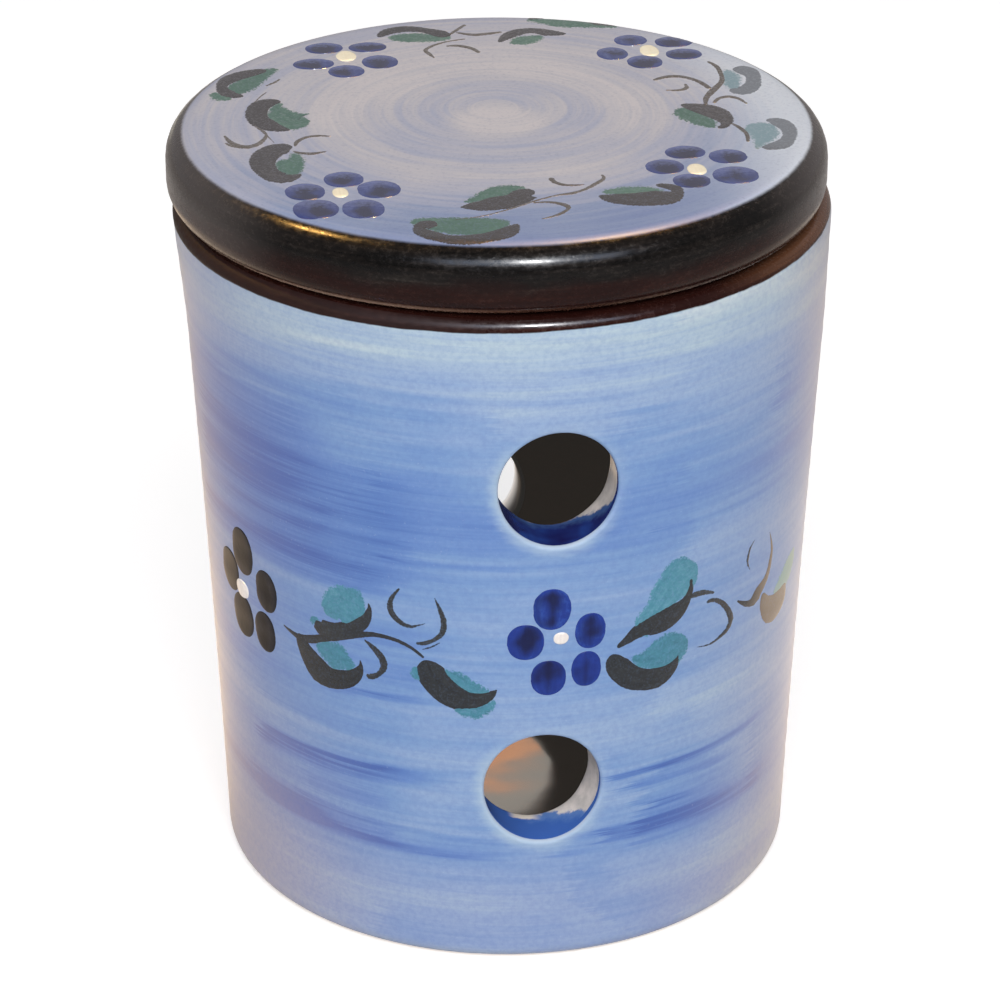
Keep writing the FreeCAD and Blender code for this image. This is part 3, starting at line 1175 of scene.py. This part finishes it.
lidLeaves = [
    [(-41, 34.4, 0.8), (-43.2, 33.6, 1.6), (-46.1, 32.2, 1.9), (-49, 30, 1.8), (-50.6, 26.3, 1.1),
     (-49.6, 22.2, 1.7), (-46.9, 20.4, 0.7)],
    [(-39.9, 16.8, 0.7), (-42.4, 16.4, 2), (-44.4, 14.2, 2), (-45.3, 9.2, 2), (-44, 5, 2.3),
     (-41.9, 2.5, 1.7), (-39.6, 1.2, 0.45)],
    [(-40, -7.4, 0.7), (-42, -7.8, 2.3), (-44.6, -9.9, 2.5), (-46.4, -14.3, 2.3), (-45.8, -19.7, 2.1),
     (-43.7, -22.9, 2.4), (-41.4, -22.7, 1.4), (-39.9, -21.3, 0.3)],
    [(-12.7, -42, 0.3), (-10.6, -41.8, 1.6), (-8, -41.6, 2.4), (-5.1, -40.7, 2.9), (-2, -39.3, 2.5),
     (0.3, -37, 2.5), (1.8, -37.2, 1.6)],
    [(-17.9, -49.9, 1.4), (-19.7, -49.3, 2.2), (-21.6, -50.5, 1), (-20.4, -53.3, 1.7), (-17, -56, 1.4),
     (-13.3, -56.8, 1.7), (-9.7, -56.5, 1.9), (-6.3, -54.9, 2.1), (-4.2, -52.3, 1), (-3.4, -51.1, 0.2)],
    [(13.3, -39.8, 0.5), (15.5, -41.4, 2), (18.6, -42.4, 2.7), (22.2, -42.6, 3.1), (25.5, -42.2, 3.1),
     (27.9, -40.2, 1.2), (27.5, -37.8, 1.3), (25.3, -36.4, 0.9), (24.7, -35.9, 0.4)],
    [(50.4, 22.2, 1.5), (52.7, 20.7, 2.1), (53.5, 17, 1.4), (52.2, 12.1, 1.6), (49.7, 9.7, 2),
     (47.7, 11.1, 0.8)],
    [(36.7, 4.2, 0.5), (38.8, 2.4, 1.9), (41.4, 0.1, 2.6), (43.2, -3.6, 2.1), (43.4, -7.4, 1),
     (41.5, -9.5, 0.8)],
    [(51.3, -6.4, 0.6), (53.4, -7.7, 1.8), (54.6, -11.6, 1.5), (53.8, -16.3, 1.3), (51.2, -19.8, 1.8),
     (47.7, -20.7, 0.9)],
    [(-16.9, 50, 0.5), (-14.8, 52.8, 1.5), (-11.1, 54.1, 1.6), (-7, 52.7, 1.3), (-4.1, 50, 1.9),
     (-2.2, 49.5, 1.1)],
    [(6.8, 43.7, 0.4), (8.8, 46.8, 1.3), (11.4, 49, 1.6), (14.7, 49.5, 1.4), (17.7, 47.6, 1.6),
     (20.9, 46.7, 0.5)],
    [(14.6, 56.2, 0.6), (16.2, 57.2, 1), (17.9, 57.7, 0.7)],
    [(26.4, 53.3, 0.5), (28.2, 52, 1.1), (30.3, 51, 1.1), (31.6, 49.9, 0.4)],
]

lidGreens = [
    [(-38.5, 34.4, 1), (-40.8, 33.5, 1.4), (-43.6, 30.1, 2), (-46.4, 26.1, 2.5), (-48.4, 23.4, 1.9),
     (-50.2, 21, 1.5)],
    [(-52.7, 23.5, 0.9), (-51.4, 20.8, 1.7), (-49.4, 19, 1.3)],
    [(-39.7, 15.6, 0.9), (-41.1, 13.7, 1.2), (-40.1, 8.5, 3.1), (-38.3, 5.7, 4.1), (-35.3, 5.4, 0.8)],
    [(-40.3, -10.5, 0.7), (-39.9, -13.8, 1.4), (-41.5, -16.7, 2.6), (-41.5, -20.7, 1.8),
     (-40.2, -22.8, 0.9)],
    [(-11.7, -39.8, 0.6), (-9.3, -38.6, 1.3), (-6.2, -36.4, 2.1), (-3.4, -34.7, 2.1), (-0.7, -34.2, 1.2),
     (0.4, -34.7, 0.6)],
    [(-22.8, -47.8, 1), (-20.4, -48.1, 2), (-17, -49.7, 3), (-13, -51, 3.6), (-9.1, -51.2, 3.2),
     (-6.3, -50.9, 2.2), (-4.9, -51.5, 0.8)],
    [(14, -38.5, 0.8), (16.9, -38.2, 1.5), (20.5, -38.3, 1.8), (23.7, -38.7, 1.3), (25.6, -39.4, 0.5)],
    [(49, 22, 0.6), (49.1, 18, 1.7), (48.6, 12.6, 1.4), (49.3, 9.3, 0.6)],
    [(34.8, 1.4, 1), (36, 0.5, 1.9), (37.6, -2.8, 2.2), (39.3, -5.7, 2.1), (40.8, -9.2, 0.8)],
    [(47.6, -8, 1.1), (49, -10.4, 3), (49.2, -14.9, 2.3), (47.5, -19.1, 1), (46.6, -21.2, 0.4)],
    [(-15.2, 49.8, 0.7), (-12.4, 49.1, 2.1), (-8.2, 48.5, 2.2), (-4.7, 47.8, 1.7), (-2.5, 48.6, 0.7)],
    [(8.8, 42.5, 0.6), (11.2, 43.7, 2.1), (14.4, 45.2, 1.6), (16.3, 46.1, 0.5)],
    [(14.1, 56, 0.75), (17.2, 54.9, 1.5), (20.8, 53.1, 2.1), (24.9, 52, 1.9), (28.6, 50.5, 1.3),
     (32, 49.3, 0.75)],
]

lidTendrils = [
    [(-38.9, 29.1, 0.2), (-40.1, 27.4, 0.4), (-42.1, 25.5, 0.2)],
    [(-42.1, 22.3, 0.15), (-43.7, 19.7, 0.2), (-45.9, 14.8, 0.15)],
    [(-46.4, 5.2, 0.2), (-45.2, 2.1, 0.35), (-44.1, -1.8, 0.2), (-43.2, -5.2, 0.1)],
    [(-52.3, 0.1, 0.3), (-51.4, -3.6, 0.65), (-49.8, -6, 1), (-47.8, -6.3, 0.9), (-45.8, -4.4, 0.65),
     (-44.4, -0.9, 0.35), (-44.9, 2.5, 0.2)],
    [(-52.5, -3.8, 0.3), (-51.3, -5.5, 0.5), (-49.9, -6.5, 0.4)],
    [(-39.6, -7.5, 0.25), (-38.9, -5, 0.55), (-37, -3, 0.55), (-34.6, -2.5, 0.55), (-32.3, -3.1, 0.25)],
    [(-40.2, -9.7, 0.25), (-38.8, -10.9, 0.6), (-36.7, -11.5, 0.7), (-33.9, -10.8, 0.3)],
    [(-14.5, -47.7, 0.2), (-9.6, -46.7, 0.27), (-4.8, -44.5, 0.3), (-0.4, -41.8, 0.36), (2.1, -40.3, 0.37),
     (5.8, -38.5, 0.35), (7.8, -38.3, 0.6), (10.9, -36.8, 0.5), (14, -33.7, 0.6), (15.6, -31.6, 0.45),
     (15.5, -29.7, 0.25)],
    [(5.8, -29.9, 0.6), (6.3, -32.3, 0.6), (7.9, -33.8, 0.6), (9.9, -34.2, 0.45), (11.6, -34.1, 0.2)],
    [(0.8, -41.6, 0.35), (3.3, -41.6, 0.5), (5.4, -42.5, 0.65), (6.7, -44, 0.7), (6.7, -45.4, 0.45),
     (5.3, -47.2, 0.5), (3.3, -48.6, 0.4), (1.1, -49.5, 0.2)],
    [(46.2, 26.9, 0.4), (47.4, 23.9, 0.55), (47.5, 19.1, 0.55), (46.8, 15.2, 0.65), (44.3, 10.9, 0.85),
     (42.2, 6.9, 0.65), (41.3, 3.2, 0.4)],
    [(33.7, 17.9, 0.5), (35.8, 19.2, 0.7), (38.1, 19.6, 0.8), (40.4, 18.5, 0.7), (42.5, 15.8, 0.65),
     (43.9, 11.7, 0.65)],
    [(39.5, 15.1, 0.25), (39.4, 13, 0.55), (37.8, 11.8, 0.6), (35.1, 12.2, 0.3)],
    [(43.1, 3.9, 0.45), (44.5, 6.2, 0.55), (46.6, 7, 0.75), (48.3, 5.6, 0.55), (49.4, 2.6, 0.3)],
    [(44.3, -7.1, 0.4), (45.6, -9.8, 0.55), (46.2, -13.4, 0.5), (45.7, -17.2, 0.4)],
    [(-2.4, 49.8, 0.4), (-0.7, 52.1, 0.5), (1.4, 55, 0.45)],
    [(-1.1, 50.6, 0.45), (2.2, 48.8, 0.75), (5.2, 49, 0.75), (8.2, 49.7, 0.45)],
    [(-7.3, 36.5, 0.2), (-8, 38.9, 0.55), (-8.5, 41.3, 0.5), (-6.7, 43.6, 0.5), (-3.7, 45.5, 0.4),
     (0.3, 46.6, 0.35)],
    [(-4.1, 43, 0.45), (-1.5, 42.8, 0.7), (0.8, 40.9, 0.65), (2, 38.2, 0.45)],
]

lidPetals = [
    (-28.5, 45.2, 3.8, 3.1), (-19.8, 44.6, 3.8, 2.8), (-31.5, 36.5, 4.1, 3), (-25.5, 31.5, 3.55, 3.5),
    (-18.3, 35.9, 3.6, 3.8), (-32.3, -25.3, 3.7, 3.8), (-26.4, -31.1, 4, 4.3), (-40, -30.4, 3.7, 4.1),
    (-38.9, -39, 4.2, 4.6), (-30.3, -40.1, 3.9, 4.6), (32.9, -20.8, 3.8, 3.3), (40.5, -24, 3.6, 3.6),
    (27.8, -27.5, 3.6, 3.7), (31.5, -35.1, 3.5, 3.5), (40.1, -33.5, 4.3, 4.3), (33.1, 41.1, 3.3, 3.1),
    (41.5, 39, 3.8, 3.1), (28.2, 34, 3.1, 3.6), (33.8, 28.4, 3.5, 3.7), (42.3, 31.7, 3.6, 3.1),
]
lidDrops = [
    (-24.6, 40, 2, 2.9), (-33.6, -31.7, 1.5, 2.4), (33.5, -29.7, 1.8, 2.7), (35.8, 34.5, 1.9, 3.2),
]


def turned(items, turn, lift=0.0):
    # The same strokes or dabs elsewhere round the jar
    moved = []
    for item in items:
        if isinstance(item, list):
            moved.append([(heading + turn, height + lift, half) for heading, height, half in item])
        else:
            moved.append((item[0] + turn, item[1] + lift, item[2], item[3]))
    return moved


leftSprig = {"leaves": jarLeaves[:4], "greens": jarGreens[:6], "tendrils": jarTendrils[:4]}
rightSprig = {"leaves": jarLeaves[4:6], "greens": jarGreens[6:9], "tendrils": jarTendrils[4:6]}
farSprig = {"leaves": jarLeaves[6:], "greens": jarGreens[9:], "tendrils": jarTendrils[6:]}

# The unseen side carries the same pattern on, clear of the back holes: what, turn, lift
backSprigs = [(leftSprig, 161.0, 0.6), (rightSprig, 185.0, 4.0), (farSprig, 183.5, 1.5)]
backFlowers = [("brown", 89.5, 70.0, 1), ("cobalt", 180.5, 77.6, -1), ("cobalt", -104.0, 70.5, 1)]
petalSpread = [
    (-1, 7.6, 3.8, 4.8), (-6, 1.6, 3.6, 4.3), (-2.2, -6.6, 3.5, 4.2),
    (5.6, 3.2, 3.3, 4.2), (5.2, -5.6, 3.2, 4.2),
]

clearSelection()
bpy.ops.mesh.primitive_grid_add(x_subdivisions=dab["stations"], y_subdivisions=dab["rows"], size=2)
dabUnit = bpy.context.active_object
dabUnit.name = "dabUnit"
bpy.ops.object.mode_set(mode="EDIT")
bpy.ops.mesh.select_all(action="SELECT")
bpy.ops.mesh.extrude_region_move(TRANSFORM_OT_translate={"value": (0, 0, -1)})
bpy.ops.mesh.select_all(action="SELECT")
bpy.ops.mesh.normals_make_consistent(inside=False)
bpy.ops.object.mode_set(mode="OBJECT")
for key in ("inset", "run", "side", "tone", "reach"):
    dabUnit.data.attributes.new(key, "FLOAT", "POINT")


def throughPoints(points, steps=8):
    # A smooth line through the given points, with its distance along, as (a, b, half width, distance)
    ends = [points[0]] + list(points) + [points[-1]]
    line = []
    for before, start, end, after in zip(ends, ends[1:], ends[2:], ends[3:]):
        for count in range(steps):
            t = count / steps
            values = []
            for p0, p1, p2, p3 in zip(before, start, end, after):
                bend = 2 * p1 + (p2 - p0) * t + (2 * p0 - 5 * p1 + 4 * p2 - p3) * t * t
                values.append((bend + (3 * p1 - p0 - 3 * p2 + p3) * t ** 3) / 2)
            line.append(values)
    line.append(list(points[-1]))
    travelled = 0.0
    made = []
    for count, (a, b, half) in enumerate(line):
        if count:
            travelled += math.hypot(a - line[count - 1][0], b - line[count - 1][1])
        made.append((a, b, max(half, 0.05), travelled))
    return made


def alongLine(line, distance):
    for first, second in zip(line, line[1:]):
        if second[3] >= distance:
            break
    span = max(second[3] - first[3], 1e-6)
    share = min(1.0, max(0.0, (distance - first[3]) / span))
    way = Vector((second[0] - first[0], second[1] - first[1])).normalized()
    spot = Vector((first[0], first[1])).lerp(Vector((second[0], second[1])), share)
    return spot, way, first[2] + (second[2] - first[2]) * share


def strokeShape(line):
    total = line[-1][3]

    def at(share):
        spot, way, half = alongLine(line, share * total)
        for cap, gone in ((line[0][2], share * total), (line[-1][2], (1 - share) * total)):
            if gone < cap:
                half *= math.sqrt(max(0.0, 1 - (1 - gone / cap) ** 2))
        return spot, way, half
    return at, total


def petalShape(a, b, halfWidth, halfHeight):
    def at(share):
        along = 2 * share - 1
        half = halfWidth * max(0.0, 1 - abs(along) ** 2.2) ** (1 / 2.2)
        return Vector((a, b + along * halfHeight)), Vector((0, 1)), half
    return at, 2 * halfHeight


def onJar(middleHeight):
    # Flattens the wall near a height: heading to millimetres and back
    perDegree = sideRadius(0, middleHeight) * math.pi / 180

    def place(flat, lift):
        heading = flat.x / perDegree
        radius = sideRadius(heading, flat.y) + lift
        angle = math.radians(heading)
        return Vector((radius * math.sin(angle), -radius * math.cos(angle), flat.y)) * mm
    return place, perDegree


def onLid(flat, lift):
    x, y = flat
    return Vector((x + lid["shift"][0], y + lid["shift"][1], lidTop(x, y) + lift)) * mm


def layDab(shape, length, place, height, seed, domed=False, rough=0.03):
    piece = bpy.data.objects.new("dab", dabUnit.data.copy())
    bpy.context.scene.collection.objects.link(piece)
    mesh = piece.data
    stations = {}
    kept = {key: [] for key in ("inset", "run", "side", "tone", "reach")}
    tone = (noise.noise(Vector((seed * 1.37, 4.1, 0.3))) + 1) / 2
    for vert in mesh.vertices:
        column = round(vert.co.x, 4)
        if column not in stations:
            share = (1 + math.sin(column * math.pi / 2)) / 2
            stations[column] = (share, *shape(share))
        share, spot, way, half = stations[column]
        across = math.sin(vert.co.y * math.pi / 2)
        edge = 1 if vert.co.y > 0 else -1
        shaky = noise.noise(Vector((share * length * 0.9, edge * 3.1, seed * 2.3)))
        shaky += 0.5 * noise.noise(Vector((share * length * 3.1, edge * 5.7, seed * 1.9)))
        half *= 1 + rough * shaky * 2
        inset = half * (1 - abs(across))
        if vert.co.z < -0.5:
            lift = -dab["sunk"]
        elif domed:
            lift = height * math.sqrt(max(0.0, 1 - across * across)) * min(1.0, half / 1.2)
        else:
            lift = 0.006 + height * (1 - math.exp(-inset / 0.3))
        flat = spot + Vector((-way.y, way.x)) * across * half
        vert.co = place(flat, lift)
        for key, value in zip(kept, (inset, share, across, tone, share * length)):
            kept[key].append(value)
    for key, values in kept.items():
        mesh.attributes[key].data.foreach_set("value", values)
    return piece


def joinDabs(name, pieces, body, material):
    clearSelection()
    for piece in pieces:
        piece.select_set(True)
    bpy.context.view_layer.objects.active = pieces[0]
    bpy.ops.object.join()
    joined = bpy.context.active_object
    joined.name = name
    bpy.ops.object.mode_set(mode="EDIT")
    bpy.ops.mesh.select_all(action="SELECT")
    bpy.ops.mesh.remove_doubles(threshold=0.001 * mm)
    bpy.ops.mesh.dissolve_degenerate(threshold=0.0005 * mm)
    bpy.ops.mesh.normals_make_consistent(inside=False)
    bpy.ops.object.mode_set(mode="OBJECT")
    bpy.ops.object.shade_smooth_by_angle(angle=math.radians(50))
    joined.data.materials.append(material)
    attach(joined, body)
    print(name, len(pieces), "dabs,", len(joined.data.polygons), "faces")


def flatPlace(body, height):
    # Puts a flat point on a piece, and tells the millimetres in one unit of its first measure
    return onJar(height) if body == "jar" else (onLid, 1.0)


def brush(name, strokes, height, material, rough=0.03, wide=1.0):
    body = name[:3]
    pieces = []
    for count, points in enumerate(strokes):
        place, perUnit = flatPlace(body, sum(point[1] for point in points) / len(points))
        line = throughPoints([(a * perUnit, b, half * wide) for a, b, half in points])
        pieces.append(layDab(*strokeShape(line), place, height, count + len(name), rough=rough))
    joinDabs(name, pieces, body, material)


def dot(name, dabs, height, material, domed=False):
    body = name[:3]
    pieces = []
    for count, (a, b, halfWidth, halfHeight) in enumerate(dabs):
        place, perUnit = flatPlace(body, b)
        shape = petalShape(a * perUnit, b, halfWidth, halfHeight)
        pieces.append(layDab(*shape, place, height, count + len(name), domed, 0.015))
    joinDabs(name, pieces, body, material)


def paintMaterial(name, colours, washGroup=None, soft=0.0, roughness=0.2, dry=0.0, **extras):
    # Three colours by brush load; the edge fades into the wash below where it is soft or dry
    material, recipe = newMaterial(name)
    inset = recipe.measure("inset")
    tone = recipe.measure("tone")
    along = recipe.measure("reach") * 0.16
    across = recipe.measure("side") * 3.2
    hairs = recipe.out("ShaderNodeCombineXYZ", {0: along, 1: across, 2: tone * 40.0}).grain(1, 3, 0.6)
    spots = recipe.place().grain(0.9, 3, 0.65)
    sponge = recipe.place().grain(2.2, 2, 0.6)
    load = hairs * 0.45 + spots * 0.45 + tone.fade(0.3, 0.7, 0.0, 0.12)
    colour = load.ramp(list(zip((0.30, 0.55, 0.75), colours)))
    if "core" in extras:
        pooled = inset + recipe.place().grain(0.2, 1, 0.4).sway(1.3)
        pooled += spots.sway(0.3)
        colour = colour.blend(pooled.fade(0.2, 3.4, 0.0, 0.85), extras["core"])
    if "tip" in extras:
        # the far end of each dab lighter: painted reflection
        upward = recipe.measure("run") + spots.sway(0.12)
        colour = colour.blend(upward.fade(0.45, 1.0, 0.0, 0.7), extras["tip"])
    if "rim" in extras:
        colour = colour.blend(inset.fade(0.05, 0.35, 0.8, 0.0), extras["rim"])
    if "worn" in extras:
        # painted glare: lighter between two headings, towards the edge of the lid and all over the jar
        x, y = recipe.place().split()[:2]
        heading = recipe.heading(x, y)
        begins, full, still, ends = extras.get("wornFrom", (41, 50, 66, 80))
        paintedGlare = heading.fade(begins, full, 0.0, 0.75) * heading.fadeOut(still, ends)
        paintedGlare *= recipe.hypot(x, y).fade(43, 47)
        colour = colour.blend(paintedGlare, extras["worn"])
    if washGroup:
        wash = recipe.named("ShaderNodeGroup", node_tree=washGroup)
        cover = (inset + sponge.sway(soft)).fade(0.0, 0.04 + soft * 1.5)
        if dry:
            cover *= sponge.fade(0.36, 0.5, 1.0 - dry, 1.0)
        colour = wash["Colour"].blend(cover, colour)
    recipe.surface(
        Base_Color=colour,
        Roughness=roughness,
        Specular_IOR_Level=extras.get("specular", 0.5),
        Normal=recipe.relief(hairs * 0.01 + spots * 0.02),
    )
    return material


jarLeafPaint = paintMaterial(
    "jarLeafPaint", [(24, 27, 31), (38, 42, 46), (58, 64, 66)], blueWash, 0.03, 0.25, 0.05,
    rim=(34, 24, 26), worn=(128, 110, 92),
)
lidLeafPaint = paintMaterial(
    "lidLeafPaint", [(38, 38, 42), (58, 58, 62), (92, 90, 92)], lidWash, 0.12, 0.25, 0.1,
    worn=(122, 130, 140), wornFrom=(60, 70, 120, 136),
)
jarGreenPaint = paintMaterial(
    "jarGreenPaint", [(46, 106, 126), (64, 127, 148), (92, 150, 168)], blueWash, 0.4, 0.3, 0.25,
    worn=(142, 166, 150),
)
lidGreenPaint = paintMaterial(
    "lidGreenPaint", [(36, 88, 80), (66, 108, 96), (104, 136, 120)], lidWash, 0.5, 0.3, 0.2,
    worn=(128, 156, 172), wornFrom=(60, 70, 120, 136),
)
jarTendrilPaint = paintMaterial(
    "jarTendrilPaint", [(26, 28, 31), (40, 42, 45), (66, 68, 68)], blueWash, 0.06, 0.25, 0.1,
    worn=(118, 106, 98),
)
lidTendrilPaint = paintMaterial(
    "lidTendrilPaint", [(66, 60, 56), (92, 86, 80), (122, 116, 108)], lidWash, 0.06, 0.25, 0.2,
)
cobaltPaint = paintMaterial(
    "cobaltPaint", [(24, 42, 114), (30, 54, 134), (48, 82, 166)],
    roughness=0.18, core=(16, 18, 46), specular=0.25,
)
brownPaint = paintMaterial(
    "brownPaint", [(20, 22, 30), (30, 30, 38), (56, 50, 48)],
    roughness=0.32, core=(16, 15, 18), specular=0.15,
)
lidPetalPaint = paintMaterial(
    "lidPetalPaint", [(44, 56, 110), (56, 70, 126), (80, 94, 146)],
    roughness=0.2, core=(30, 34, 56), tip=(112, 122, 170),
)
jarDropPaint = paintMaterial(
    "jarDropPaint", [(214, 208, 206), (230, 224, 220), (240, 234, 228)],
    roughness=0.2,
)
lidDropPaint = paintMaterial(
    "lidDropPaint", [(240, 224, 192), (251, 238, 208), (253, 244, 220)],
    roughness=0.2,
)

for sprig, turn, lift in backSprigs:
    jarLeaves += turned(sprig["leaves"], turn, lift)
    jarGreens += turned(sprig["greens"], turn, lift)
    jarTendrils += turned(sprig["tendrils"], turn, lift)
for kind, heading, height, way in backFlowers:
    petals = [(heading + way * a, height + b, w, h) for a, b, w, h in petalSpread]
    if kind == "brown":
        jarBrownPetals += petals
    else:
        jarCobaltPetals += petals
    jarDrops += [(heading, height + 0.4, 1.8, 1.6)]

brush("jarGreenBrushwork", jarGreens, dab["greenHeight"], jarGreenPaint, 0.05, 1.3)
brush("jarLeafBrushwork", jarLeaves, dab["leafHeight"], jarLeafPaint, 0.025, 1.1)
brush("jarTendrils", jarTendrils, dab["lineHeight"], jarTendrilPaint, wide=1.15)
dot("jarCobaltPetals", jarCobaltPetals, dab["petalHeight"], cobaltPaint)
dot("jarBrownPetals", jarBrownPetals, dab["petalHeight"], brownPaint)
dot("jarSlipDrops", jarDrops, dab["dropHeight"], jarDropPaint, True)
brush("lidGreenBrushwork", lidGreens, dab["greenHeight"], lidGreenPaint, 0.05, 1.3)
brush("lidLeafBrushwork", lidLeaves, dab["leafHeight"], lidLeafPaint, 0.025, 1.15)
brush("lidTendrils", lidTendrils, dab["lineHeight"], lidTendrilPaint)
dot("lidPetals", lidPetals, dab["petalHeight"], lidPetalPaint)
dot("lidSlipDrops", lidDrops, dab["dropHeight"], lidDropPaint, True)
clearSelection()
dabUnit.select_set(True)
bpy.ops.object.delete()
print("ornament is on")
